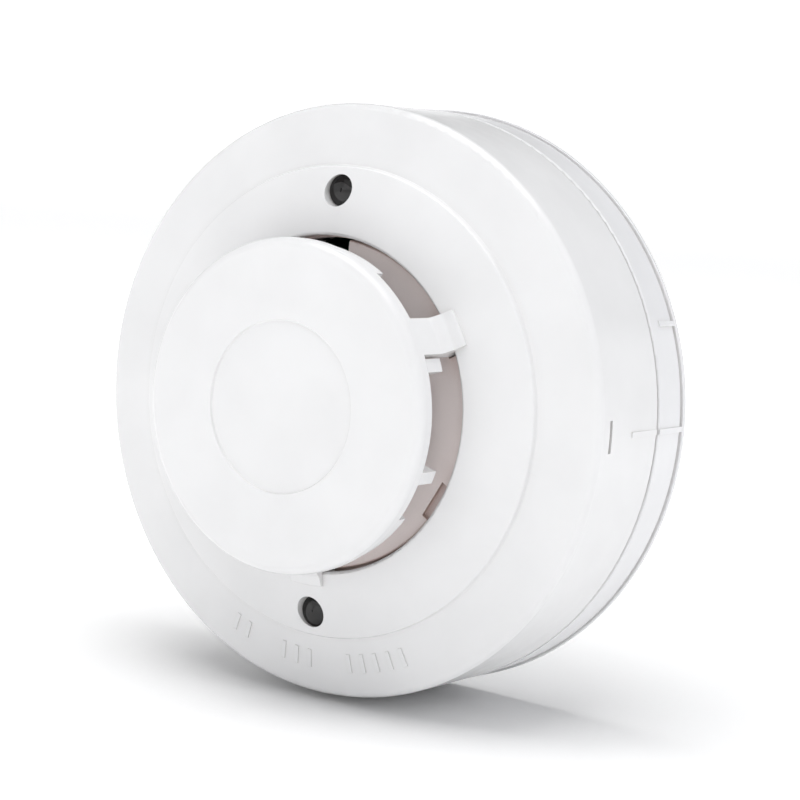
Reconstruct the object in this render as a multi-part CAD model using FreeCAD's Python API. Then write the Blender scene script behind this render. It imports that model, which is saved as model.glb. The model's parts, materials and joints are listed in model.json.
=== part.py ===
import FreeCAD, Part
import math
import os

from FreeCAD import Vector

# Heat detector: a plug-in sensing head on a round mounting base.
# Millimetres. The axis lies along Y. The mounting face is the plane y = 0 with the origin at its
# centre, and the sensing face looks towards -Y. +Z is 12 o'clock and +X is 3 o'clock as seen from
# in front. "Depth" is the distance in front of the mounting face, so y = -depth. Clock angles are
# measured from +X towards +Z, which is anticlockwise as seen from in front.

# ---- mounting base ----
BACK_RIM_R = 50.9        # narrow rim against the wall
BACK_RIM_T = 1.0
GROOVE_R = 50.1          # shadow groove in front of the rim
GROOVE_W = 0.5
SKIRT_R = 50.5
SKIRT_D = 9.2
LIP_OUT_R = 48.2         # locating lip inside the head's skirt
LIP_IN_R = 47.2
LIP_D = 10.4
FLOOR_D = 2.6
CABLE_R = 14.0
COLLAR_R = 15.6
COLLAR_D = 4.6
SLOT_W = 4.4
SLOT_L = 9.0
SLOT_PAD_W = 8.0
SLOT_PAD_D = 3.2
SLOT_SPACING_X = 60.0
SLOT_SPACING_Z = 50.0
RELIEF_R = (17.5, 46.0)  # shallow pockets moulded into the back
RELIEF_DEPTH = 0.8
RELIEF_RIB_W = 2.0
LEDGE_IN_R = 45.4        # bayonet ledges
LEDGE_D = (6.3, 7.9)
LEDGE_HALF = 9.0
STOP_WIDTH = 1.5
MARK_HEIGHT = 0.25       # index marks on the side walls
MARK_W = 0.9
SECOND_MARK_D = 6.4

# ---- terminals ----
TERMINAL_ANGLES = (45.0, 135.0, 225.0, 315.0)
TERMINAL_R = 34.0
PLATE_LAG = 10.5         # each plate sits clockwise of its contact point
SCREW_T = -6.5           # screw, along the plate
BOSS_D = 5.0
PLATE_T = 0.8
PLATE_WIDTH = 9.0
TONGUE_WIDTH = 6.0
TERMINAL_SCREW_R = 1.5
SCREW_HEAD_R = 2.9
NUT_SIDE = 5.4
NUT_D = (2.9, 4.9)
CLAMP_SIDE = 8.4
CLAMP_D = (6.1, 7.0)
SCREW_TIP_D = 1.9
SCREW_HOLE_D = 1.5
SCREW_HEAD_D = (7.05, 9.05)
RUNNING_FIT = 0.07

# ---- head: chassis and contacts ----
TWIST = 20.0             # angle between locked and released
CHASSIS_D = (11.0, 12.6)
CHASSIS_R = 48.0
RING_IN_R = 43.2
RING_OUT_R = 44.8
RING_BACK_D = 4.4
LUG_R = 46.6
LUG_T = 1.5
LUG_ANGLES = (60.0, 180.0, 300.0)
LUG_HALF = 8.0
BLADE_WIDTH = 7.0
BLADE_T = 0.8
BLADE_D = 8.5
RIVET_AT_R = 25.5
RIVET_R = 1.5
SNAP_ANGLES = (0.0, 180.0)
SNAP_W = 4.8
SNAP_R = (45.8, 47.1)
SNAP_END_D = 26.0

# ---- head: board and parts on it ----
BOARD_R = 40.0
BOARD_D = (16.0, 17.6)
BOARD_SCREW_AT_R = 35.0
BOARD_SCREW_ANGLES = (0.0, 120.0, 240.0)
BOARD_SCREW_R = 1.2
LED_AT_R = 35.4
LED_ANGLES = {"top": 90.0, "bottom": 270.0}
LED_R = 1.5
LEAD_R = 0.25
LEAD_T = 0.762           # half the spacing of the lamp leads
LED_LEAD_END_D = 27.5
SPACER_R = 2.6
SPACER_FRONT_D = 25.15

# ---- head: sensing chamber ----
CHAMBER_R = 30.7
CHAMBER_WALL = 1.5
CHAMBER_TOP_D = 32.2
CHAMBER_STEP_R = 27.6
CHAMBER_STEP_D = 30.8
WELL_R = 19.0
WELL_FLOOR_D = 22.0
NOTCH_ANGLE = 93.5       # open notch, with two shallow pockets in place of the other two
NOTCH_HALF = 9.7
NOTCH_IN_R = 21.5
POCKET_ANGLES = (210.0, 330.0)
POCKET_WIDTH = 6.8
POCKET_IN_R = 25.9
POCKET_DEPTH = 0.9
HOLDER_GAP = 0.2         # inside the collar that steadies the holder
HOLDER_COLLAR_WALL = 1.4
HOLDER_COLLAR_H = 2.5
THERMISTOR_PITCH = 1.27
LEAD_TAIL_D = 15.2       # soldered ends of the leads, behind the board
HOLDER_R = 2.8           # thermistor holder
HOLDER_TIP_D = 34.2
BEAD_D = 37.6

# ---- head: cover and cap ----
COVER_REAR_D = 9.6
COVER_REAR_R = 50.4
RIM_R = 50.0
RIM_D = 28.4
RING_STEP_R = 39.6
RING_STEP_D = (30.2, 31.0)
HOLE_R = 28.0
HOLE_D = 34.0
COVER_WALL = 1.8
LED_HOLE_R = 2.7
LED_COLLAR_R = 3.8
COVER_SLOT_D = 25.1
COVER_SLOT_L = 5.2
COVER_SLOT_W = 0.8
CAP_R = 27.4
CAP_WALL = 1.6
CAP_FACE_D = 44.8
CAP_EDGE_D = 41.5
CAP_PLATE_T = 1.7
CAP_EDGE_ROUND = 1.5
CAP_RECESS_R = 14.0
CAP_RECESS_T = 0.35
LEG_ANGLES = (30.0, 150.0, 270.0)
LEG_W = 6.2
FOOT_R = 30.5
FOOT_D = 33.0            # level at which each foot meets the dome, before it is trimmed to it
CAP_RIB_R = (24.4, 26.8) # short ribs under the edge, on each side of every leg
CAP_RIB_D = 36.6
CAP_RIB_OFFSETS = (-10.0, -49.0)
CAP_RIB_HALF = 2.3
BAFFLE_R = (25.0, 26.8)  # longer and shallower rib on the other side of every leg
BAFFLE_D = 38.4
BAFFLE_OFFSET = 41.0
BAFFLE_HALF = 13.0
# generic raised bars on the bevelled rim: clock angle of the middle of each group, and its bars
BAR_GROUPS = ((-111.5, 2), (-95.5, 3), (-74.0, 5))
BAR_PITCH = 3.6
BAR_R = (42.4, 45.6)
BAR_W = 0.7
BAR_H = 0.22
HEAD_MARK_D = 18.3
STANDOFF_R = 3.0         # posts of the chassis under the board, round each rivet and board screw
WINDOW_BACK_D = 29.7
WINDOW_EDGE_D = 30.9
WINDOW_FRONT_D = 31.6
WINDOW_GAP = 0.02        # the windows are pressed into their holes
LED_BACK_D = 25.2
LED_FRONT_D = 29.4
HOLE_CLEARANCE = 0.05    # radial room round rivets and board screws

ORIGIN = Vector(0, 0, 0)
FORWARD = Vector(0, -1, 0)


# ---------------------------------------------------------------- helpers

def turned_to(shape, angle):
    """The shape, designed at 3 o'clock, moved to a clock angle."""
    moved = shape.copy()
    moved.rotate(ORIGIN, FORWARD, angle)
    return moved


def rounded_wire(corners, place):
    """Closed wire through (a, b) or (a, b, radius) corners; place maps (a, b) to a 3-D point."""
    flat = [Vector(corner[0], corner[1], 0) for corner in corners]
    radii = [corner[2] if len(corner) > 2 else 0.0 for corner in corners]
    runs = []
    for i, corner in enumerate(flat):
        before = (flat[i - 1] - corner).normalize()
        after = (flat[(i + 1) % len(flat)] - corner).normalize()
        if radii[i] == 0.0:
            runs.append((corner, None, corner))
            continue
        half = before.getAngle(after) / 2
        reach = radii[i] / math.tan(half)
        centre = corner + (before + after).normalize() * (radii[i] / math.sin(half))
        middle = centre + (corner - centre).normalize() * radii[i]
        runs.append((corner + before * reach, middle, corner + after * reach))
    edges = []
    for i, (start, middle, end) in enumerate(runs):
        if middle is not None:
            arc = Part.Arc(place(start.x, start.y), place(middle.x, middle.y), place(end.x, end.y))
            edges.append(arc.toShape())
        following = runs[(i + 1) % len(runs)][0]
        if end.distanceToPoint(following) > 1e-6:
            edges.append(Part.makeLine(place(end.x, end.y), place(following.x, following.y)))
    return Part.Wire(edges)


def turned(corners, start=0.0, sweep=360.0):
    """Solid of revolution about the detector's axis from a (radius, depth) outline."""
    wire = rounded_wire(corners, lambda radius, depth: Vector(radius, -depth, 0))
    solid = Part.Face(wire).revolve(ORIGIN, FORWARD, sweep)
    return turned_to(solid, start)


def ring(inner, outer, back, front):
    return turned([(inner, back), (outer, back), (outer, front), (inner, front)])


def sector(inner, outer, back, front, middle, half):
    outline = [(inner, back), (outer, back), (outer, front), (inner, front)]
    return turned(outline, middle - half, 2 * half)


def rod(radius, back, front, at_r=0.0, t=0.0):
    """Cylinder along the axis direction, at a radius and a tangential offset, at 3 o'clock."""
    return Part.makeCylinder(radius, front - back, Vector(at_r, -back, t), FORWARD)


def block(inner, outer, back, front, t_low, t_high):
    """Box at 3 o'clock: radial, depth and tangential limits."""
    corner = Vector(inner, -front, t_low)
    return Part.makeBox(outer - inner, front - back, t_high - t_low, corner)


def soft_block(inner, outer, back, front, t_low, t_high, radius):
    """Box at 3 o'clock whose four edges along the depth are rounded."""
    corners = [(inner, t_low, radius), (outer, t_low, radius),
               (outer, t_high, radius), (inner, t_high, radius)]
    wire = rounded_wire(corners, lambda a, b: Vector(a, -back, b))
    return Part.Face(wire).extrude(FORWARD * (front - back))


def spun(corners, at_r, t=0.0):
    """Solid of revolution about a line parallel to the axis, from a (radius, depth) outline."""
    wire = rounded_wire(corners, lambda radius, depth: Vector(at_r + radius, -depth, t))
    return Part.Face(wire).revolve(Vector(at_r, 0, t), FORWARD, 360)


def slot_block(length, width, back, front, at_r):
    """Round-ended slot along the radial direction at 3 o'clock."""
    straight = (length - width) / 2
    shape = block(at_r - straight, at_r + straight, back, front, -width / 2, width / 2)
    for side in (-1, 1):
        shape = shape.fuse(rod(width / 2, back, front, at_r + side * straight))
    return shape.removeSplitter()


def joined(shapes):
    body = shapes[0]
    if len(shapes) > 1:
        body = body.fuse(shapes[1:])
    return body.removeSplitter()


def around(shape, angles):
    return [turned_to(shape, angle) for angle in angles]


# ---------------------------------------------------------------- mounting base

def terminal_boss():
    """Boss under one terminal plate, at 3 o'clock of the plate."""
    half = PLATE_WIDTH / 2 + 0.7
    return soft_block(TERMINAL_R - half, TERMINAL_R + half, FLOOR_D - 0.5, BOSS_D, -11.2, 2.2, 1.0)


def nut_pocket():
    half = NUT_SIDE / 2 + 0.15
    pocket = block(TERMINAL_R - half, TERMINAL_R + half, NUT_D[0] - 0.1, BOSS_D + 1,
                   SCREW_T - half, SCREW_T + half)
    return pocket.fuse(rod(TERMINAL_SCREW_R + 0.4, SCREW_HOLE_D, NUT_D[0], TERMINAL_R, SCREW_T))


def index_mark(radius, back, front):
    return block(radius - 1.0, radius + MARK_HEIGHT, back, front, -MARK_W / 2, MARK_W / 2)


def back_relief():
    """Shallow pockets in the back face, with radial ribs and full thickness around the slots."""
    inner, outer = RELIEF_R
    pockets = ring(inner, outer, -1, RELIEF_DEPTH)
    rib = block(inner - 1, outer + 1, -2, RELIEF_DEPTH + 1, -RELIEF_RIB_W / 2, RELIEF_RIB_W / 2)
    kept = around(rib, range(0, 360, 45))
    for spacing, angles in ((SLOT_SPACING_X, (0, 180)), (SLOT_SPACING_Z, (90, 270))):
        length = SLOT_L + SLOT_PAD_W - SLOT_W
        kept += around(slot_block(length, SLOT_PAD_W, -2, RELIEF_DEPTH + 1, spacing / 2), angles)
    return pockets.cut(kept)


def base_plate():
    """Round plate with skirt, cable entry, fixing slots, terminal bosses and bayonet ledges."""
    groove_end = BACK_RIM_T + GROOVE_W
    shell = turned([
        (CABLE_R, 0), (BACK_RIM_R, 0, 0.3), (BACK_RIM_R, BACK_RIM_T, 0.2),
        (GROOVE_R, BACK_RIM_T), (GROOVE_R, groove_end), (SKIRT_R, groove_end),
        (SKIRT_R, SKIRT_D, 0.3), (LIP_OUT_R, SKIRT_D), (LIP_OUT_R, LIP_D, 0.2),
        (LIP_IN_R, LIP_D, 0.2), (LIP_IN_R, FLOOR_D, 0.8), (COLLAR_R, FLOOR_D, 0.4),
        (COLLAR_R, COLLAR_D, 0.3), (CABLE_R, COLLAR_D, 0.3)])
    plate_angles = [angle - PLATE_LAG for angle in TERMINAL_ANGLES]
    added = [shell] + around(terminal_boss(), plate_angles)
    cuts = around(nut_pocket(), plate_angles) + [back_relief()]
    pad_length = SLOT_L + SLOT_PAD_W - SLOT_W
    for spacing, angles in ((SLOT_SPACING_X, (0, 180)), (SLOT_SPACING_Z, (90, 270))):
        pad = slot_block(pad_length, SLOT_PAD_W, FLOOR_D - 0.5, SLOT_PAD_D, spacing / 2)
        added += around(pad, angles)
        # each slot runs along its radius
        for angle in angles:
            slot = slot_block(SLOT_L, SLOT_W, -1, SLOT_PAD_D + 1, spacing / 2)
            cuts.append(turned_to(slot, angle))
    wall_r = LIP_IN_R + 0.6
    half_stop = STOP_WIDTH / 2
    for lug in LUG_ANGLES:
        added.append(sector(LEDGE_IN_R, wall_r, LEDGE_D[0], LEDGE_D[1], lug, LEDGE_HALF))
        locked_stop = lug - LUG_HALF - 1.5 - half_stop
        added.append(sector(LEDGE_IN_R, wall_r, FLOOR_D - 0.5, LEDGE_D[1], locked_stop, half_stop))
        open_stop = lug + TWIST + LUG_HALF + 1.5 + half_stop
        added.append(sector(LEDGE_IN_R, wall_r, FLOOR_D - 0.5, LEDGE_D[0], open_stop, half_stop))
    added.append(index_mark(SKIRT_R, 0.6, SKIRT_D))
    added.append(turned_to(index_mark(SKIRT_R, 0.6, SECOND_MARK_D), TWIST))
    body = joined(added)
    return body.cut(cuts)


def terminal_plate():
    """Plate on the boss with a spring tongue that rises under the contact blade."""
    top = BOSS_D + PLATE_T
    pad = soft_block(TERMINAL_R - PLATE_WIDTH / 2, TERMINAL_R + PLATE_WIDTH / 2,
                     BOSS_D, top, -10.5, 1.5, 0.8)
    outline = [(0.5, BOSS_D), (1.9, BOSS_D, 0.8), (6.1, 7.5, 0.8), (9.6, 6.4),
               (9.8, 7.1), (6.3, 8.4, 1.4), (1.6, top, 0.4), (0.5, top)]
    low = TERMINAL_R - TONGUE_WIDTH / 2
    wire = rounded_wire(outline, lambda t, depth: Vector(low, -depth, t))
    tongue = Part.Face(wire).extrude(Vector(TONGUE_WIDTH, 0, 0))
    hole = rod(TERMINAL_SCREW_R + 0.25, BOSS_D - 1, top + 1, TERMINAL_R, SCREW_T)
    return joined([pad, tongue]).cut(hole)


def terminal_nut():
    half = NUT_SIDE / 2
    body = block(TERMINAL_R - half, TERMINAL_R + half, NUT_D[0], NUT_D[1], SCREW_T - half, SCREW_T + half)
    return body.cut(rod(TERMINAL_SCREW_R + RUNNING_FIT, 0, SKIRT_D, TERMINAL_R, SCREW_T))


def clamp_plate():
    """Square wire clamp with a shallow groove for a conductor on each side of the screw."""
    half = CLAMP_SIDE / 2
    body = soft_block(TERMINAL_R - half, TERMINAL_R + half, CLAMP_D[0], CLAMP_D[1],
                      SCREW_T - half, SCREW_T + half, 0.8)
    groove_r = 1.2
    grooves = []
    for side in (-1, 1):
        start = Vector(TERMINAL_R - CLAMP_SIDE, -(CLAMP_D[0] - 0.8), SCREW_T + side * 3.0)
        grooves.append(Part.makeCylinder(groove_r, 2 * CLAMP_SIDE, start, Vector(1, 0, 0)))
    hole = rod(TERMINAL_SCREW_R + RUNNING_FIT, 0, SKIRT_D, TERMINAL_R, SCREW_T)
    return body.cut(grooves + [hole])


def cross_recess(radius, top, at_r, t=0.0):
    arm = radius * 0.62
    width = radius * 0.22
    deep = top - radius * 0.4
    first = block(at_r - arm, at_r + arm, deep, top + 1, t - width / 2, t + width / 2)
    second = block(at_r - width / 2, at_r + width / 2, deep, top + 1, t - arm, t + arm)
    return first.fuse(second)


def pan_screw(shank_r, tip, head_r, head_back, head_front, at_r, t=0.0):
    """Pan-head screw that points backwards, its thread drawn as a plain cylinder."""
    outline = [(0, tip), (shank_r - 0.4, tip), (shank_r, tip + 0.4), (shank_r, head_back),
               (head_r, head_back, 0.15), (head_r, head_front, (head_front - head_back) * 0.6),
               (0, head_front)]
    return spun(outline, at_r, t).cut(cross_recess(head_r, head_front, at_r, t))


def terminal_screw():
    return pan_screw(TERMINAL_SCREW_R, SCREW_TIP_D, SCREW_HEAD_R, SCREW_HEAD_D[0], SCREW_HEAD_D[1],
                     TERMINAL_R, SCREW_T)


# ---------------------------------------------------------------- head: chassis and contacts

def head_chassis():
    """Rear moulding: disc, bayonet ring with lugs, rivet bosses, standoffs and two snap arms."""
    back, front = CHASSIS_D
    disc = turned([(0, back), (CHASSIS_R, back, 0.3), (CHASSIS_R, front, 0.3), (0, front)])
    parts = [disc, ring(RING_IN_R, RING_OUT_R, RING_BACK_D, back + 0.5)]
    for lug in LUG_ANGLES:
        parts.append(sector(RING_IN_R, LUG_R, RING_BACK_D, RING_BACK_D + LUG_T, lug, LUG_HALF))
    parts += around(rod(STANDOFF_R, front - 0.5, BOARD_D[0], RIVET_AT_R), TERMINAL_ANGLES)
    parts += around(rod(STANDOFF_R, front - 0.5, BOARD_D[0], BOARD_SCREW_AT_R), BOARD_SCREW_ANGLES)
    rib = block(6.0, 41.0, front - 0.5, front + 1.8, -0.6, 0.6)
    parts += around(rib, [angle + 30 for angle in range(0, 360, 60)])
    parts.append(ring(5.0, 6.5, front - 0.5, front + 1.8))
    arm = block(SNAP_R[0], SNAP_R[1], front - 0.5, SNAP_END_D, -SNAP_W / 2, SNAP_W / 2)
    barb_back = COVER_SLOT_D - COVER_SLOT_W / 2 + 0.1
    barb_outline = [(SNAP_R[1] - 0.5, barb_back), (49.2, barb_back), (49.2, barb_back + 0.2),
                    (SNAP_R[1] + 0.6, barb_back + 0.55), (SNAP_R[1] - 0.3, SNAP_END_D)]
    wire = rounded_wire(barb_outline, lambda radius, depth: Vector(radius, -depth, -SNAP_W / 2))
    barb = Part.Face(wire).extrude(Vector(0, 0, SNAP_W))
    parts += around(arm.fuse(barb), SNAP_ANGLES)
    body = joined(parts)
    cuts = around(rod(RIVET_R + HOLE_CLEARANCE, 0, BOARD_D[1], RIVET_AT_R), TERMINAL_ANGLES)
    screw_hole = rod(BOARD_SCREW_R + HOLE_CLEARANCE, back + 0.6, BOARD_D[1], BOARD_SCREW_AT_R)
    return body.cut(cuts + around(screw_hole, BOARD_SCREW_ANGLES))


def contact_blade():
    """Stepped blade: riveted flat against the chassis, then down to the terminal's tongue."""
    mount_front = CHASSIS_D[0]
    mount_back = mount_front - BLADE_T
    touch_front = BLADE_D + BLADE_T
    outline = [(21.5, mount_back), (29.4, mount_back, 0.6), (30.9, BLADE_D, 0.6),
               (38.8, BLADE_D), (39.6, BLADE_D + 0.3), (39.6, touch_front), (31.4, touch_front, 0.6),
               (29.9, mount_front, 0.6), (21.5, mount_front)]
    half = BLADE_WIDTH / 2
    wire = rounded_wire(outline, lambda radius, depth: Vector(radius, -depth, -half))
    blade = Part.Face(wire).extrude(Vector(0, 0, BLADE_WIDTH))
    return blade.cut(rod(RIVET_R + HOLE_CLEARANCE, 0, BOARD_D[1], RIVET_AT_R))


def contact_rivet():
    """Tubular rivet through blade, chassis boss and board."""
    head_back = CHASSIS_D[0] - BLADE_T
    board_front = BOARD_D[1]
    outline = [(0.6, head_back - 0.8), (1.8, head_back - 0.8), (2.6, head_back - 0.3),
               (2.6, head_back), (RIVET_R, head_back), (RIVET_R, board_front),
               (2.3, board_front), (2.1, board_front + 0.45), (0.9, board_front + 0.5),
               (0.9, head_back)]
    return spun(outline, RIVET_AT_R)


# ---------------------------------------------------------------- head: board and parts on it

def circuit_board():
    body = turned([(0, BOARD_D[0]), (BOARD_R, BOARD_D[0]), (BOARD_R, BOARD_D[1]), (0, BOARD_D[1])])
    back, front = BOARD_D[0] - 1, BOARD_D[1] + 1
    holes = around(rod(RIVET_R + HOLE_CLEARANCE, back, front, RIVET_AT_R), TERMINAL_ANGLES)
    holes += around(rod(BOARD_SCREW_R + 0.15, back, front, BOARD_SCREW_AT_R), BOARD_SCREW_ANGLES)
    return body.cut(holes)


def board_screw():
    head_back = BOARD_D[1]
    return pan_screw(BOARD_SCREW_R, CHASSIS_D[0] + 1.0, 2.2, head_back, head_back + 1.6, BOARD_SCREW_AT_R)


def microcontroller():
    """Small-outline package with seven bent legs on each long side."""
    top = BOARD_D[1]
    body = block(-12.0, -8.1, top + 0.2, top + 1.6, -4.3, 4.3)
    parts = [body]
    for i in range(7):
        t = (i - 3) * 1.27
        for edge, side in ((-12.0, -1), (-8.1, 1)):
            low, high = sorted((edge - 0.3 * side, edge + 0.5 * side))
            parts.append(block(low, high, top + 0.7, top + 0.95, t - 0.2, t + 0.2))
            low, high = sorted((edge + 0.3 * side, edge + 0.5 * side))
            parts.append(block(low, high, top, top + 0.95, t - 0.2, t + 0.2))
            low, high = sorted((edge + 0.3 * side, edge + 1.0 * side))
            parts.append(block(low, high, top, top + 0.2, t - 0.2, t + 0.2))
    return joined(parts)


def electrolytic_capacitor():
    top = BOARD_D[1]
    outline = [(0, top + 0.3), (3.15, top + 0.3, 0.3), (3.15, top + 1.5, 0.2), (2.95, top + 1.8, 0.2),
               (3.15, top + 2.1, 0.2), (3.15, top + 8.3, 0.5), (0, top + 8.3)]
    can = spun(outline, 24.0)
    legs = [rod(LEAD_R, top - 0.8, top + 0.5, 24.0, side * 1.25) for side in (-1, 1)]
    return turned_to(joined([can] + legs), 20.0)


def polarity_bridge():
    top = BOARD_D[1]
    body = soft_block(20.9, 27.3, top + 0.4, top + 3.0, -4.2, 4.2, 0.4)
    legs = []
    for radius in (21.6, 26.6):
        for t in (-2.54, 2.54):
            legs.append(block(radius - 0.25, radius + 0.25, top - 0.8, top + 0.6, t - 0.3, t + 0.3))
    return turned_to(joined([body] + legs), 200.0)


def surge_suppressor():
    """Disc varistor standing on edge on two leads."""
    top = BOARD_D[1]
    disc = Part.makeCylinder(3.5, 3.2, Vector(22.4, -(top + 5.0), 0), Vector(1, 0, 0))
    disc = disc.makeFillet(0.9, [edge for edge in disc.Edges if edge.Length > 15])
    legs = [rod(LEAD_R, top - 0.8, top + 2.6, 24.0, side * 2.5) for side in (-1, 1)]
    return turned_to(joined([disc] + legs), 345.0)


def transistor():
    """Flat-fronted round package on three legs."""
    top = BOARD_D[1]
    body = rod(2.3, top + 1.5, top + 6.0, 24.0)
    body = body.common(block(23.0, 28.0, top, top + 7.0, -3.0, 3.0))
    legs = [rod(0.22, top - 0.8, top + 1.7, 24.3, side * 1.27) for side in (-1, 0, 1)]
    return joined([body] + legs)


def resistor():
    """Axial resistor lying on the board with its leads bent down."""
    top = BOARD_D[1]
    axis_d = top + 1.25
    length = 6.3
    outline = [(0, -length / 2), (1.15, -length / 2, 0.5), (1.15, -1.8, 0.3), (0.95, -1.4, 0.3),
               (0.95, 1.4, 0.3), (1.15, 1.8, 0.3), (1.15, length / 2, 0.5), (0, length / 2)]
    wire = rounded_wire(outline, lambda radius, t: Vector(35.5 + radius, -axis_d, t))
    body = Part.Face(wire).revolve(Vector(35.5, -axis_d, 0), Vector(0, 0, 1), 360)
    parts = [body]
    for side in (-1, 1):
        end = side * 4.6
        low, high = sorted((side * (length / 2 - 0.3), end + side * LEAD_R))
        lead = Part.makeCylinder(LEAD_R, high - low, Vector(35.5, -axis_d, low), Vector(0, 0, 1))
        parts.append(lead)
        parts.append(rod(LEAD_R, top - 0.8, axis_d, 35.5, end))
    return joined(parts)


def ceramic_capacitor():
    top = BOARD_D[1]
    return soft_block(34.4, 36.4, top + 0.05, top + 1.25, -1.6, 1.6, 0.15)


def bead_thermistor(depth, leads_pitch, at_r=0.0):
    """Glass-coated bead, drop shaped."""
    outline = [(0, depth - 2.2), (0.7, depth - 2.2, 0.3), (1.35, depth - 0.4, 0.6),
               (1.2, depth + 1.4, 1.0), (0, depth + 1.9)]
    bead = spun(outline, at_r)
    bores = [rod(LEAD_R, depth - 3, depth - 0.5, at_r, side * leads_pitch / 2) for side in (-1, 1)]
    return bead.cut(bores)


def reference_thermistor():
    top = BOARD_D[1]
    bead = bead_thermistor(top + 4.0, 0.8, 35.0)
    legs = [rod(LEAD_R, top - 0.8, top + 3.5, 35.0, side * 0.4) for side in (-1, 1)]
    return turned_to(joined([bead] + legs), 180.0)


def indicator_led():
    """3 mm lamp with its rim at the back."""
    back = LED_BACK_D
    outline = [(0, back), (1.9, back, 0.1), (1.9, back + 0.9, 0.1), (LED_R, back + 0.9),
               (LED_R, LED_FRONT_D, LED_R * 0.98), (0, LED_FRONT_D)]
    bores = [rod(LEAD_R, back - 1, back + 2.4, LED_AT_R, side * LEAD_T) for side in (-1, 1)]
    return spun(outline, LED_AT_R).cut(bores)


def led_leads(angle):
    """Two straight leads from behind the board, through the spacer and into the lamp."""
    leads = [rod(LEAD_R, LEAD_TAIL_D, LED_LEAD_END_D, LED_AT_R, side * LEAD_T) for side in (-1, 1)]
    return [turned_to(lead, angle) for lead in leads]


def led_spacer():
    body = rod(SPACER_R, BOARD_D[1], SPACER_FRONT_D, LED_AT_R)
    bores = [rod(LEAD_R + 0.1, 0, SPACER_FRONT_D + 1, LED_AT_R, side * LEAD_T) for side in (-1, 1)]
    return body.cut(bores)


def led_window():
    """Dark tinted lens pressed into the cover's collar, slightly crowned in front."""
    edge_r = LED_HOLE_R - WINDOW_GAP
    outline = [(0, WINDOW_BACK_D), (edge_r, WINDOW_BACK_D), (edge_r, WINDOW_EDGE_D, 0.2),
               (1.9, 31.35, 2.5), (0, WINDOW_FRONT_D)]
    return spun(outline, LED_AT_R)


# ---------------------------------------------------------------- head: sensing chamber

def leg_passage(gap):
    """Space a leg and its hook take in the chamber, with a gap all round."""
    half = LEG_W / 2 + gap
    return block(CAP_R - CAP_WALL - gap, CHAMBER_R + 1, 28.6, HOLE_D + 1, -half, half)


def sensor_chamber():
    """Annular floor level with the cover's hole, around a deeper well for the thermistor."""
    wall = CHAMBER_WALL
    floor_back = WELL_FLOOR_D - wall
    plate_back = CHAMBER_STEP_D - wall
    body = turned([
        (0, floor_back), (WELL_R, floor_back, 0.8), (WELL_R, plate_back, 0.5),
        (CHAMBER_R - wall, plate_back, 0.5), (CHAMBER_R - wall, BOARD_D[1]), (CHAMBER_R, BOARD_D[1]),
        (CHAMBER_R, CHAMBER_STEP_D, 0.3), (CHAMBER_STEP_R, CHAMBER_STEP_D),
        (CHAMBER_STEP_R, CHAMBER_TOP_D, 0.4), (22.0, 31.7, 12.0), (WELL_R - wall, 30.6, 1.5),
        (WELL_R - wall, WELL_FLOOR_D, 1.2), (0, WELL_FLOOR_D)])
    collar_in_r = HOLDER_R + HOLDER_GAP
    collar = ring(collar_in_r, collar_in_r + HOLDER_COLLAR_WALL,
                  WELL_FLOOR_D - 0.5, WELL_FLOOR_D + HOLDER_COLLAR_H)
    body = joined([body, collar])
    cuts = around(leg_passage(0.3), LEG_ANGLES)
    cuts.append(rod(HOLDER_R + 0.05, 0, WELL_FLOOR_D + 1))
    notch_out_r = CHAMBER_STEP_R + 0.1
    cuts.append(sector(NOTCH_IN_R, notch_out_r, floor_back, CHAMBER_TOP_D + 1, NOTCH_ANGLE, NOTCH_HALF))
    pocket = block(POCKET_IN_R, CHAMBER_STEP_R + 0.5, CHAMBER_TOP_D - POCKET_DEPTH, CHAMBER_TOP_D + 1,
                   -POCKET_WIDTH / 2, POCKET_WIDTH / 2)
    cuts += around(pocket, POCKET_ANGLES)
    return body.cut(cuts)


def thermistor_holder():
    outline = [(0, BOARD_D[1]), (HOLDER_R, BOARD_D[1]), (HOLDER_R, 31.0, 0.5),
               (1.7, HOLDER_TIP_D, 0.6), (0, HOLDER_TIP_D)]
    post = turned(outline)
    bores = [rod(LEAD_R + 0.05, 0, BEAD_D, 0.0, side * THERMISTOR_PITCH / 2) for side in (-1, 1)]
    return post.cut(bores)


def thermistor_leads():
    return [rod(LEAD_R, LEAD_TAIL_D, BEAD_D - 0.6, 0.0, side * THERMISTOR_PITCH / 2) for side in (-1, 1)]


def chamber_seal():
    """Foam ring between the chamber's step and the underside of the cover."""
    seal = ring(28.4, 30.4, CHAMBER_STEP_D, CHAMBER_STEP_D + 1.2)
    seal = seal.cut(cover_inside())
    return seal.cut(around(leg_passage(0.3), LEG_ANGLES))


# ---------------------------------------------------------------- head: cover and cap

def cover_outer_corners():
    return [(COVER_REAR_R, COVER_REAR_D, 0.3), (RIM_R, RIM_D, 1.3),
            (RING_STEP_R + 0.1, RING_STEP_D[0], 0.3), (RING_STEP_R - 0.15, RING_STEP_D[1], 0.3),
            (34.2, 32.6, 60.0), (HOLE_R, HOLE_D, 0.4)]


def cover_inner_corners():
    wall = COVER_WALL
    return [(HOLE_R, HOLE_D - wall), (34.0, 32.55 - wall, 20.0), (38.4, 29.2, 0.5),
            (RIM_R - 2.0, 26.4, 1.5), (COVER_REAR_R - wall, COVER_REAR_D)]


def cover_inside():
    """Everything in front of the cover's inner surface, used to trim parts that bear on it."""
    corners = cover_inner_corners()
    return turned([(0, HOLE_D - COVER_WALL)] + corners + [(60, COVER_REAR_D), (60, 50), (0, 50)])


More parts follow.
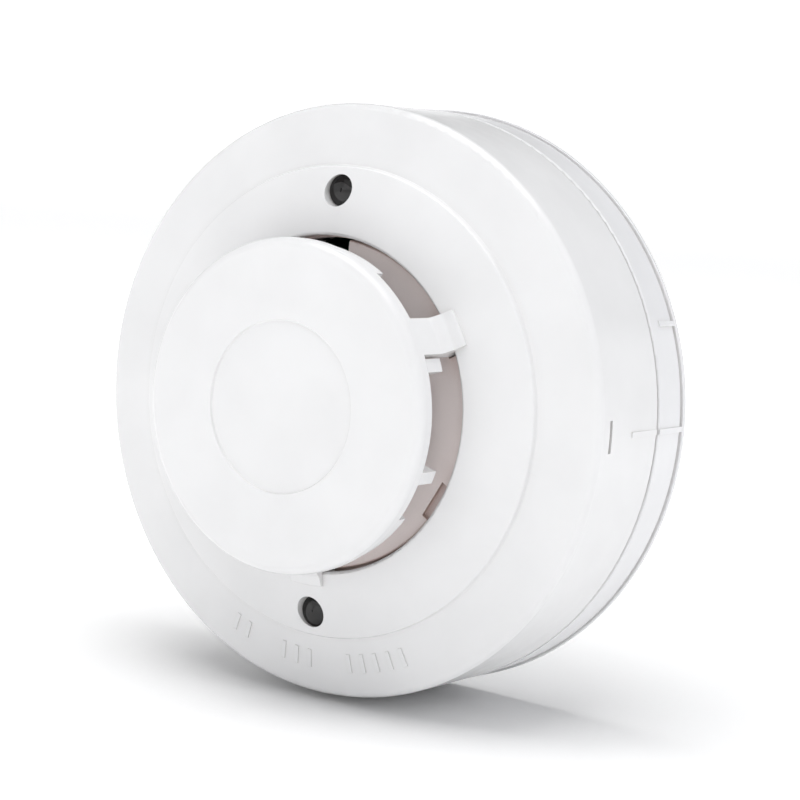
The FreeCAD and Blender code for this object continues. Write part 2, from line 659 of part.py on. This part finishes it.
def soft_bar():
    """One raised bar on the bevel, parallel to its slope."""
    slope = (RING_STEP_D[0] - RIM_D) / (RIM_R - RING_STEP_R)
    half = BAR_W / 2

    def surface(radius):
        return RIM_D + (RIM_R - radius) * slope

    low, high = BAR_R
    outline = [(low, surface(low) - 0.6), (high, surface(high) - 0.6),
               (high, surface(high) + BAR_H, 0.15), (low, surface(low) + BAR_H, 0.15)]
    wire = rounded_wire(outline, lambda radius, depth: Vector(radius, -depth, -half))
    return Part.Face(wire).extrude(Vector(0, 0, 2 * half))


def head_cover():
    """Front housing: skirt, bevelled rim, stepped ring, dome, hole, lamp collars and side slots."""
    body = turned(cover_outer_corners() + cover_inner_corners())
    outside = turned(cover_outer_corners() + [(0, HOLE_D), (0, COVER_REAR_D)])
    collar = rod(LED_COLLAR_R, 26.5, 33.2, LED_AT_R).common(outside)
    parts = [body] + around(collar, LED_ANGLES.values())
    rear_r = COVER_REAR_R - 0.2
    parts.append(index_mark(rear_r, COVER_REAR_D + 0.1, HEAD_MARK_D))
    for middle, count in BAR_GROUPS:
        for i in range(count):
            bar = soft_bar()
            parts.append(turned_to(bar, middle + (i - (count - 1) / 2) * BAR_PITCH))
    body = joined(parts)
    cuts = around(rod(LED_HOLE_R, 20, 40, LED_AT_R), LED_ANGLES.values())
    slot = block(45.0, 55.0, COVER_SLOT_D - COVER_SLOT_W / 2, COVER_SLOT_D + COVER_SLOT_W / 2,
                 -COVER_SLOT_L / 2, COVER_SLOT_L / 2)
    cuts += around(slot, SNAP_ANGLES)
    return body.cut(cuts)


def cap_leg():
    """Leg at 3 o'clock: a strip of the cap's tube, a foot on the dome and a hook under it."""
    inner = CAP_R - CAP_WALL
    half = LEG_W / 2
    hook_r = CAP_R + 1.3
    outline = [(inner, 29.2), (CAP_R, 29.2), (hook_r, 30.2), (hook_r, 30.75), (CAP_R, 30.9),
               (CAP_R, FOOT_D), (FOOT_R, FOOT_D), (FOOT_R, 34.1, 0.3), (28.9, 34.7, 1.2),
               (CAP_R, 36.2, 1.5), (CAP_R, CAP_EDGE_D + 1), (inner, CAP_EDGE_D + 1)]
    sweep = math.degrees(2.4 * half / CAP_R)
    wedge = turned(outline, -sweep / 2, sweep)
    slab = block(0, 60, 0, 60, -half, half)
    return wedge.common(slab)


def cap_ribs():
    """Two short ribs and one longer baffle under the cap's edge, repeated with each leg."""
    front = CAP_EDGE_D + 0.3
    ribs = [sector(*CAP_RIB_R, CAP_RIB_D, front, offset, CAP_RIB_HALF) for offset in CAP_RIB_OFFSETS]
    ribs.append(sector(*BAFFLE_R, BAFFLE_D, front, BAFFLE_OFFSET, BAFFLE_HALF))
    return [turned_to(rib, leg) for leg in LEG_ANGLES for rib in ribs]


def sensor_cap():
    """Flat disc guard with a rounded edge and a shallow round recess, standing on three legs."""
    plate_back = CAP_FACE_D - CAP_PLATE_T
    inner = CAP_R - CAP_WALL
    disc = turned([
        (0, plate_back), (inner, plate_back, 0.5), (inner, CAP_EDGE_D, 0.2), (CAP_R, CAP_EDGE_D, 0.2),
        (CAP_R, CAP_FACE_D, CAP_EDGE_ROUND), (CAP_RECESS_R + 0.2, CAP_FACE_D, 0.15),
        (CAP_RECESS_R, CAP_FACE_D - CAP_RECESS_T, 0.15), (0, CAP_FACE_D - CAP_RECESS_T)])
    legs = around(cap_leg(), LEG_ANGLES)
    body = joined([disc] + legs + cap_ribs())
    dome = turned(cover_outer_corners() + cover_inner_corners())
    return body.cut(dome)


# ---------------------------------------------------------------- the whole detector

def all_nodes():
    nodes = {"base_plate": base_plate()}
    plate_angles = [angle - PLATE_LAG for angle in TERMINAL_ANGLES]
    for number, angle in enumerate(plate_angles, 1):
        nodes[f"terminal_plate_{number}"] = turned_to(terminal_plate(), angle)
        nodes[f"clamp_plate_{number}"] = turned_to(clamp_plate(), angle)
        nodes[f"terminal_screw_{number}"] = turned_to(terminal_screw(), angle)
    nodes["terminal_nuts"] = Part.makeCompound(around(terminal_nut(), plate_angles))

    nodes["head_chassis"] = head_chassis()
    for number, angle in enumerate(TERMINAL_ANGLES, 1):
        nodes[f"contact_blade_{number}"] = turned_to(contact_blade(), angle)
    nodes["contact_rivets"] = Part.makeCompound(around(contact_rivet(), TERMINAL_ANGLES))

    nodes["board_screws"] = Part.makeCompound(around(board_screw(), BOARD_SCREW_ANGLES))
    nodes["microcontroller"] = microcontroller()
    nodes["electrolytic_capacitor"] = electrolytic_capacitor()
    nodes["polarity_bridge"] = polarity_bridge()
    nodes["surge_suppressor"] = surge_suppressor()
    nodes["transistors"] = Part.makeCompound(around(transistor(), (250.0, 290.0)))
    nodes["resistors"] = Part.makeCompound(around(resistor(), (30.0, 60.0, 150.0, 210.0, 300.0)))
    nodes["ceramic_capacitors"] = Part.makeCompound(around(ceramic_capacitor(), (45.0, 195.0, 320.0)))
    nodes["reference_thermistor"] = reference_thermistor()

    for place, angle in LED_ANGLES.items():
        nodes[f"indicator_led_{place}"] = turned_to(indicator_led(), angle)
        nodes[f"led_leads_{place}"] = Part.makeCompound(led_leads(angle))
        nodes[f"led_spacer_{place}"] = turned_to(led_spacer(), angle)
        nodes[f"led_window_{place}"] = turned_to(led_window(), angle)

    nodes["thermistor_leads"] = Part.makeCompound(thermistor_leads())
    # every soldered part's legs pass through the board in holes of their own size
    soldered = ["electrolytic_capacitor", "polarity_bridge", "surge_suppressor", "transistors",
                "resistors", "reference_thermistor", "led_leads_top", "led_leads_bottom",
                "thermistor_leads"]
    nodes["circuit_board"] = circuit_board().cut([nodes[name] for name in soldered])

    nodes["sensor_chamber"] = sensor_chamber()
    nodes["chamber_seal"] = chamber_seal()
    nodes["thermistor_holder"] = thermistor_holder()
    nodes["thermistor_bead"] = bead_thermistor(BEAD_D, THERMISTOR_PITCH)
    nodes["head_cover"] = head_cover()
    nodes["sensor_cap"] = sensor_cap()
    return nodes


os.makedirs("parts", exist_ok=True)
for node, shape in all_nodes().items():
    if not shape.isValid() or not shape.Solids:
        raise ValueError(f"{node} is not a valid solid")
    shape.exportStep(f"parts/{node}.step")
    box = shape.BoundBox
    print(f"{node}: {len(shape.Solids)} solid(s), {shape.Volume:.1f} mm3, "
          f"x {box.XMin:.2f}..{box.XMax:.2f} y {box.YMin:.2f}..{box.YMax:.2f} "
          f"z {box.ZMin:.2f}..{box.ZMax:.2f}")
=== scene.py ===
import json
from math import cos, pi, radians, sin

import bpy
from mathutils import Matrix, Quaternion, Vector


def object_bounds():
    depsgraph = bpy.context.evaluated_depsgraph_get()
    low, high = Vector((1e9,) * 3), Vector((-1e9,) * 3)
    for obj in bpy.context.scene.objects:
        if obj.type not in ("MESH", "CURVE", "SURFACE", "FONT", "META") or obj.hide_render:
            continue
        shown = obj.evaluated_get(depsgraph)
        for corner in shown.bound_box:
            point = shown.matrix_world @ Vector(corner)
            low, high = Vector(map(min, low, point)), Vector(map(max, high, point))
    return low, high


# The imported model: one body for the base, one for the head, and a clamp and a screw for each terminal.
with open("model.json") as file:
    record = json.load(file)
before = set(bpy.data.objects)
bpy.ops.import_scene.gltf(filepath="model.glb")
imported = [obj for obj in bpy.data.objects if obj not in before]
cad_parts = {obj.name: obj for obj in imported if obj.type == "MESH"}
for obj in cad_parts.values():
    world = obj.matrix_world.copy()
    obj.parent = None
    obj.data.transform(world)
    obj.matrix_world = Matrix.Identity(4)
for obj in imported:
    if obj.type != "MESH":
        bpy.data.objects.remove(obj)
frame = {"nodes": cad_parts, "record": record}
nodes = frame["nodes"]
cad_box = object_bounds()

MM = 0.001


# ---------------------------------------------------------------------------------------------
# Materials
# ---------------------------------------------------------------------------------------------

class Shader:
    """A material under construction: a principled shader and short ways to add and join nodes."""

    def __init__(self, name):
        self.material = bpy.data.materials.new(name)
        self.material.use_nodes = True
        self.tree = self.material.node_tree
        self.base = self.tree.nodes["Principled BSDF"]
        self.coords = self.add("ShaderNodeTexCoord").outputs["Object"]

    def add(self, kind, **settings):
        node = self.tree.nodes.new(kind)
        for key, value in settings.items():
            if hasattr(node, key):
                setattr(node, key, value)
            else:
                node.inputs[key.replace("_", " ")].default_value = value
        return node

    def join(self, source, target):
        self.tree.links.new(source, target)

    def noise(self, size_mm, detail=2.0, roughness=0.5):
        """Noise whose blobs are about size_mm across."""
        node = self.add("ShaderNodeTexNoise", Scale=1000.0 / size_mm, Detail=detail, Roughness=roughness)
        self.join(self.coords, node.inputs["Vector"])
        return node.outputs["Fac"]

    def remap(self, source, low, high, to_low, to_high):
        node = self.add("ShaderNodeMapRange", From_Min=low, From_Max=high, To_Min=to_low, To_Max=to_high)
        self.join(source, node.inputs["Value"])
        return node.outputs["Result"]

    def blend(self, factor, first, second):
        """Colour from first to second as factor goes from 0 to 1. Either may be a colour or a socket."""
        node = self.add("ShaderNodeMix", data_type="RGBA")
        self.join(factor, node.inputs["Factor"])
        for socket, value in (("A_Color", first), ("B_Color", second)):
            target = next(s for s in node.inputs if s.identifier == socket)
            if hasattr(value, "links"):
                self.join(value, target)
            else:
                target.default_value = (*value, 1.0)
        return next(s for s in node.outputs if s.identifier == "Result_Color")

    def bump(self, height, depth_mm, normal=None):
        node = self.add("ShaderNodeBump", Strength=1.0, Distance=depth_mm * MM)
        self.join(height, node.inputs["Height"])
        if normal is not None:
            self.join(normal, node.inputs["Normal"])
        return node.outputs["Normal"]

    def edges(self, radius_mm):
        """1 on sharp outer and inner edges and 0 on open faces."""
        bevel = self.add("ShaderNodeBevel", samples=4, Radius=radius_mm * MM)
        plain = self.add("ShaderNodeNewGeometry").outputs["Normal"]
        dot = self.add("ShaderNodeVectorMath", operation="DOT_PRODUCT")
        self.join(bevel.outputs["Normal"], dot.inputs[0])
        self.join(plain, dot.inputs[1])
        return self.remap(dot.outputs["Value"], 1.0, 0.86, 0.0, 1.0)

    def hollows(self, reach_mm):
        """1 deep in corners and 0 in the open."""
        node = self.add("ShaderNodeAmbientOcclusion", samples=4, Distance=reach_mm * MM)
        return self.remap(node.outputs["AO"], 0.9, 0.25, 0.0, 1.0)


def plastic(name, colour, rough=0.3, grain_mm=0.4, grain_depth=0.0012, ripple=0.006, corner_shade=0.10,
            wear=0.25, coat=0.0, corner=(0.74, 0.70, 0.66), reach=1.6):
    """Moulded plastic: fine mould grain, slow ripples, painted shade darkening the corners and paler worn
    edges.
    """
    s = Shader(name)
    broad = s.noise(14.0, 3.0)
    shade = tuple(c * 0.965 for c in colour)
    body = s.blend(s.remap(broad, 0.35, 0.65, 0.0, 1.0), shade, colour)
    shade_colour = tuple(c * f for c, f in zip(colour, corner))
    # Painted shade: an ambient-occlusion mask darkens corners and recesses toward the corner tint.
    body = s.blend(s.remap(s.hollows(reach), 0.0, 1.0, 0.0, corner_shade), body, shade_colour)
    edge = s.edges(0.18)
    worn = tuple(min(1.0, c * 1.06 + 0.01) for c in colour)
    body = s.blend(s.remap(edge, 0.0, 1.0, 0.0, wear), body, worn)
    s.join(body, s.base.inputs["Base Color"])
    patchy = s.noise(3.5, 4.0, 0.6)
    s.join(s.remap(patchy, 0.3, 0.7, rough * 0.86, rough * 1.16), s.base.inputs["Roughness"])
    grain = s.bump(s.noise(grain_mm, 2.0), grain_depth)
    wave = s.bump(s.noise(9.0, 0.0), ripple, grain)
    s.join(wave, s.base.inputs["Normal"])
    s.base.inputs["IOR"].default_value = 1.5
    s.base.inputs["Coat Weight"].default_value = coat
    s.base.inputs["Coat Roughness"].default_value = 0.08
    return s.material


def metal(name, colour, rough, grain_mm=0.15, tarnish=(0.30, 0.26, 0.20), tarnish_share=0.25):
    """Plated sheet or wire: fine rolling grain, uneven roughness and a little tarnish."""
    s = Shader(name)
    stretch = s.add("ShaderNodeMapping", Scale=(1.0, 6.0, 1.0))
    s.join(s.coords, stretch.inputs["Vector"])
    streak = s.add("ShaderNodeTexNoise", Scale=1000.0 / grain_mm / 6.0, Detail=3.0)
    s.join(stretch.outputs["Vector"], streak.inputs["Vector"])
    patch = s.remap(s.noise(2.2, 4.0, 0.65), 0.5, 0.75, 0.0, tarnish_share)
    s.join(s.blend(patch, colour, tarnish), s.base.inputs["Base Color"])
    s.join(s.remap(streak.outputs["Fac"], 0.3, 0.7, rough * 0.8, rough * 1.3), s.base.inputs["Roughness"])
    s.join(s.bump(streak.outputs["Fac"], 0.006), s.base.inputs["Normal"])
    s.base.inputs["Metallic"].default_value = 1.0
    return s.material


def tinted_lens(name):
    """Dark smoked lens, polished, with faint flow marks."""
    s = Shader(name)
    flow = s.remap(s.noise(2.4, 3.0, 0.6), 0.35, 0.7, 0.0, 1.0)
    s.join(s.blend(flow, (0.0015, 0.0012, 0.0012), (0.006, 0.004, 0.004)), s.base.inputs["Base Color"])
    s.join(s.remap(flow, 0.0, 1.0, 0.04, 0.10), s.base.inputs["Roughness"])
    s.join(s.bump(s.noise(1.6, 1.0), 0.02), s.base.inputs["Normal"])
    s.base.inputs["IOR"].default_value = 1.49
    return s.material


def clear_epoxy(name):
    """Red-tinted clear lamp body with a slight haze."""
    s = Shader(name)
    haze = s.noise(0.8, 2.0)
    s.join(s.remap(haze, 0.3, 0.7, 0.05, 0.16), s.base.inputs["Roughness"])
    s.join(s.blend(haze, (0.80, 0.28, 0.23), (0.88, 0.32, 0.27)), s.base.inputs["Base Color"])
    s.join(s.bump(haze, 0.002), s.base.inputs["Normal"])
    s.base.inputs["Transmission Weight"].default_value = 0.85
    s.base.inputs["IOR"].default_value = 1.53
    return s.material


def laminate(name):
    """Green solder resist over woven glass, with the weave showing faintly."""
    s = Shader(name)
    weave = s.add("ShaderNodeTexWave", wave_type="BANDS", bands_direction="X", Scale=1000.0 / 1.2)
    s.join(s.coords, weave.inputs["Vector"])
    cross = s.add("ShaderNodeTexWave", wave_type="BANDS", bands_direction="Z", Scale=1000.0 / 1.2)
    s.join(s.coords, cross.inputs["Vector"])
    both = s.add("ShaderNodeMath", operation="MULTIPLY")
    s.join(weave.outputs["Fac"], both.inputs[0])
    s.join(cross.outputs["Fac"], both.inputs[1])
    resist = s.blend(both.outputs[0], (0.004, 0.03, 0.014), (0.008, 0.05, 0.022))
    s.join(resist, s.base.inputs["Base Color"])
    s.join(s.remap(s.noise(2.0, 3.0), 0.3, 0.7, 0.25, 0.42), s.base.inputs["Roughness"])
    s.join(s.bump(both.outputs[0], 0.01), s.base.inputs["Normal"])
    return s.material


def foam(name):
    """Closed-cell foam: small pits all over and a matt skin."""
    s = Shader(name)
    cells = s.add("ShaderNodeTexVoronoi", Scale=1000.0 / 0.45)
    s.join(s.coords, cells.inputs["Vector"])
    pit = s.remap(cells.outputs["Distance"], 0.0, 0.6, 0.0, 1.0)
    s.join(s.blend(pit, (0.02, 0.02, 0.022), (0.06, 0.06, 0.065)), s.base.inputs["Base Color"])
    s.join(s.remap(pit, 0.0, 1.0, 0.95, 0.75), s.base.inputs["Roughness"])
    s.join(s.bump(pit, 0.15), s.base.inputs["Normal"])
    return s.material


FINISHES = {
    "white_shell": plastic("white_shell", (0.795, 0.795, 0.800), rough=0.20, corner_shade=0.45),
    "base_shell": plastic("base_shell", (0.785, 0.787, 0.800), rough=0.22, corner_shade=0.45),
    "chassis_plastic": plastic("chassis_plastic", (0.62, 0.62, 0.61), rough=0.42, grain_depth=0.01),
    # Painted shade: a strong, wide, brownish corner tint darkens the chamber under the sensor cap and
    # along the hole lip.
    "chamber_plastic": plastic("chamber_plastic", (0.90, 0.82, 0.80), rough=0.34, corner_shade=0.9,
                               corner=(0.55, 0.42, 0.38), reach=5.0),
    "tinted_lens": tinted_lens("tinted_lens"),
    "clear_epoxy": clear_epoxy("clear_epoxy"),
    "contact_metal": metal("contact_metal", (0.80, 0.76, 0.66), 0.28),
    "screw_steel": metal("screw_steel", (0.70, 0.70, 0.71), 0.32, tarnish_share=0.15),
    "tinned_wire": metal("tinned_wire", (0.78, 0.78, 0.79), 0.30),
    "board_laminate": laminate("board_laminate"),
    "black_epoxy": plastic("black_epoxy", (0.022, 0.022, 0.024), rough=0.55, grain_depth=0.012),
    "capacitor_sleeve": plastic("capacitor_sleeve", (0.03, 0.04, 0.09), rough=0.30),
    "varistor_coat": plastic("varistor_coat", (0.04, 0.12, 0.35), rough=0.45, grain_depth=0.012),
    "resistor_coat": plastic("resistor_coat", (0.55, 0.42, 0.24), rough=0.50, grain_depth=0.012),
    "ceramic": plastic("ceramic", (0.55, 0.36, 0.14), rough=0.60, grain_depth=0.02),
    "bead_glass": plastic("bead_glass", (0.05, 0.045, 0.04), rough=0.18, coat=0.8),
    "foam": foam("foam"),
}

for part in frame["record"]["subparts"]:
    nodes[part["node"]].data.materials.clear()
    nodes[part["node"]].data.materials.append(FINISHES[part["material_slot"]])


# ---------------------------------------------------------------------------------------------
# Studio
# ---------------------------------------------------------------------------------------------

FLOOR_RADIUS = 12.0
FLOOR_RINGS = 40
FLOOR_GAP = 0.3 * MM
GLOW_STARTS_AT = 0.06
GLOW_FULL_AT = 0.20
GLOW = 0.55


def paper(name):
    """White sheet that glows away from the object, so that it fades to pure white."""
    s = Shader(name)
    fibre = s.noise(0.8, 4.0, 0.6)
    s.join(s.blend(fibre, (0.93, 0.93, 0.93), (0.97, 0.97, 0.97)), s.base.inputs["Base Color"])
    s.join(s.remap(fibre, 0.3, 0.7, 0.85, 0.95), s.base.inputs["Roughness"])
    s.join(s.bump(fibre, 0.01), s.base.inputs["Normal"])
    s.base.inputs["Specular IOR Level"].default_value = 0.1
    away = s.add("ShaderNodeVectorMath", operation="LENGTH")
    s.join(s.coords, away.inputs[0])
    s.base.inputs["Emission Color"].default_value = (1.0, 1.0, 1.0, 1.0)
    glow = s.remap(away.outputs["Value"], GLOW_STARTS_AT, GLOW_FULL_AT, 0.0, GLOW)
    s.join(glow, s.base.inputs["Emission Strength"])
    return s.material


def sheet_of_paper(name, floor_z, radius, rings, material):
    """Round floor whose far edge rises in a curve."""
    mesh = bpy.data.meshes.new(name)
    steps = 96
    points = [(0.0, 0.0, floor_z)]
    for i in range(1, rings + 1):
        share = i / rings
        r = radius * share ** 2
        rise = max(0.0, share - 0.8) ** 2 * radius * 6.0
        points += [(r * cos(2 * pi * k / steps), r * sin(2 * pi * k / steps), floor_z + rise)
                   for k in range(steps)]
    faces = [(0, 1 + k, 1 + (k + 1) % steps) for k in range(steps)]
    for i in range(rings - 1):
        a, b = 1 + i * steps, 1 + (i + 1) * steps
        faces += [(a + k, b + k, b + (k + 1) % steps, a + (k + 1) % steps) for k in range(steps)]
    mesh.from_pydata(points, [], faces)
    mesh.materials.append(material)
    for face in mesh.polygons:
        face.use_smooth = True
    obj = bpy.data.objects.new(name, mesh)
    bpy.context.scene.collection.objects.link(obj)
    return obj


floor = sheet_of_paper("floor", cad_box[0].z - FLOOR_GAP, FLOOR_RADIUS, FLOOR_RINGS, paper("floor_paper"))


def softbox(name, place, aim, width, height, power):
    data = bpy.data.lights.new(name, "AREA")
    data.shape = "RECTANGLE"
    data.size = width
    data.size_y = height
    data.energy = power
    lamp = bpy.data.objects.new(name, data)
    lamp.location = place
    lamp.rotation_mode = "QUATERNION"
    lamp.rotation_quaternion = (Vector(aim) - Vector(place)).to_track_quat("-Z", "Y")
    bpy.context.scene.collection.objects.link(lamp)
    return lamp


softbox("overhead", (0.0, -0.2, 1.2), (0, 0, 0), 1.2, 1.0, 11.8)
softbox("front_window", (-0.30, -1.40, 0.55), (0, 0, 0), 0.80, 0.90, 1.0)
softbox("right_strip", (1.15, -0.95, 0.35), (0, 0, 0), 0.18, 1.0, 0.3)


def studio_world(name):
    """Dim even surroundings, brighter and a little cooler toward the right."""
    made = bpy.data.worlds.new(name)
    made.use_nodes = True
    tree = made.node_tree
    coords = tree.nodes.new("ShaderNodeTexCoord")
    dot = tree.nodes.new("ShaderNodeVectorMath")
    dot.operation = "DOT_PRODUCT"
    dot.inputs[1].default_value = Vector((1.0, -0.2, 0.1)).normalized()
    tree.links.new(coords.outputs["Generated"], dot.inputs[0])
    ramp = tree.nodes.new("ShaderNodeValToRGB")
    ramp.color_ramp.elements[0].position = 0.0
    ramp.color_ramp.elements[0].color = (0.31, 0.31, 0.31, 1.0)
    ramp.color_ramp.elements[1].position = 1.0
    ramp.color_ramp.elements[1].color = (0.68, 0.69, 0.72, 1.0)
    tree.links.new(dot.outputs["Value"], ramp.inputs["Fac"])
    tree.links.new(ramp.outputs["Color"], tree.nodes["Background"].inputs["Color"])
    tree.nodes["Background"].inputs["Strength"].default_value = 1.0
    return made


bpy.context.scene.world = studio_world("studio")

AIM = Vector((0.00599, -0.01840, 0.00061))
AZIMUTH = radians(33.243)
ELEVATION = radians(5.701)
ROLL = radians(3.980)
DISTANCE = 0.33896

back = Vector((sin(AZIMUTH) * cos(ELEVATION), -cos(AZIMUTH) * cos(ELEVATION), sin(ELEVATION)))
camera = bpy.data.objects.new("camera", bpy.data.cameras.new("camera"))
bpy.context.scene.collection.objects.link(camera)
camera.data.sensor_width = 36.0
camera.data.lens = 89.305
camera.data.clip_start = 0.01
camera.data.clip_end = 50.0
camera.location = AIM + back * DISTANCE
camera.rotation_mode = "QUATERNION"
camera.rotation_quaternion = (-back).to_track_quat("-Z", "Y") @ Quaternion((0, 0, 1), ROLL)
bpy.context.scene.camera = camera
bpy.context.scene.view_settings.view_transform = "Standard"
